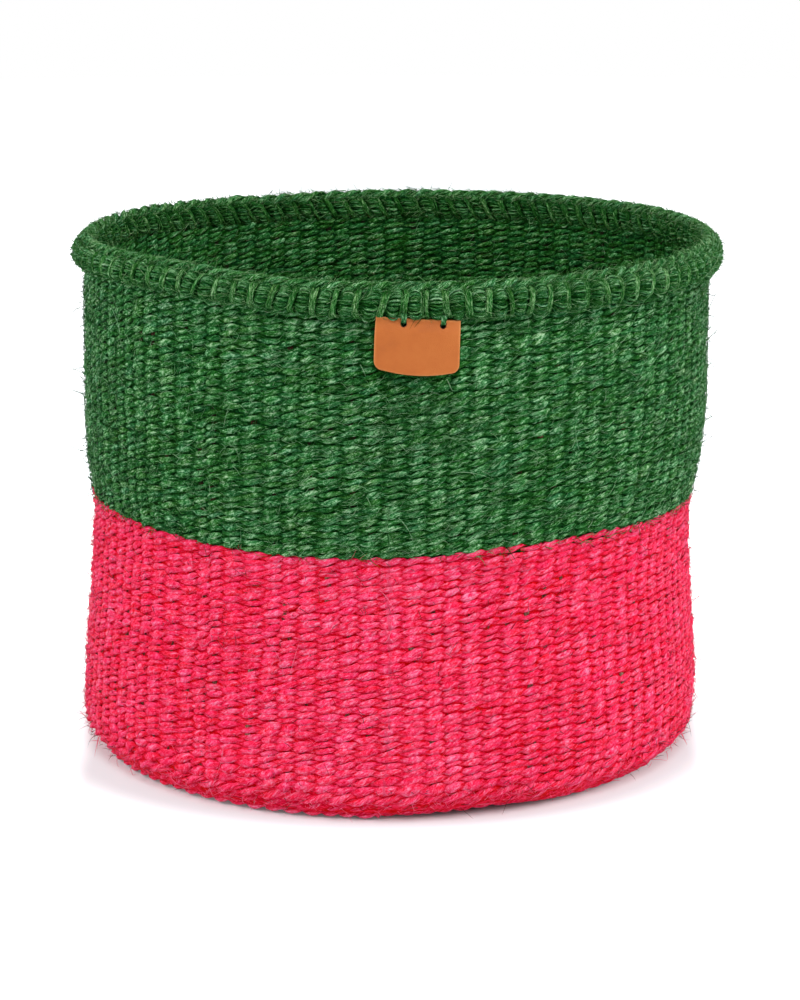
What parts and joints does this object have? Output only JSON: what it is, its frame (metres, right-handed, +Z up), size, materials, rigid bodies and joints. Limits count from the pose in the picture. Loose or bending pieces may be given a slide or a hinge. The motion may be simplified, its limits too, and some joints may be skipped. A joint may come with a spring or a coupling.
{
  "type": "woven storage basket",
  "caption": "Round twined sisal storage basket with straight walls, a plaited turn at the base, a rolled and bound rim and a small leather tag; open top.",
  "frame": {"origin": "on the floor, at the middle of the flat underside of the base", "axes": "+Z up along the axis of the round basket, -Y towards the front where the tag hangs"},
  "size_m": [0.28, 0.28, 0.22],
  "materials": {
    "pink_sisal": "matt twined plant fibre with a slight silky sheen",
    "green_sisal": "matt twined plant fibre with a slight silky sheen",
    "tan_leather": "smooth satin leather"
  },
  "bodies": {
    "root": {"base_weave": "pink_sisal", "base_edge_plait": "pink_sisal", "lower_wall": "pink_sisal", "upper_wall": "green_sisal", "rim_core": "green_sisal", "rim_binding": "green_sisal", "rim_edge_cord": "green_sisal", "leather_tag": "tan_leather", "tag_stitch_left": "green_sisal", "tag_stitch_right": "green_sisal"}
  },
  "joints": []
}
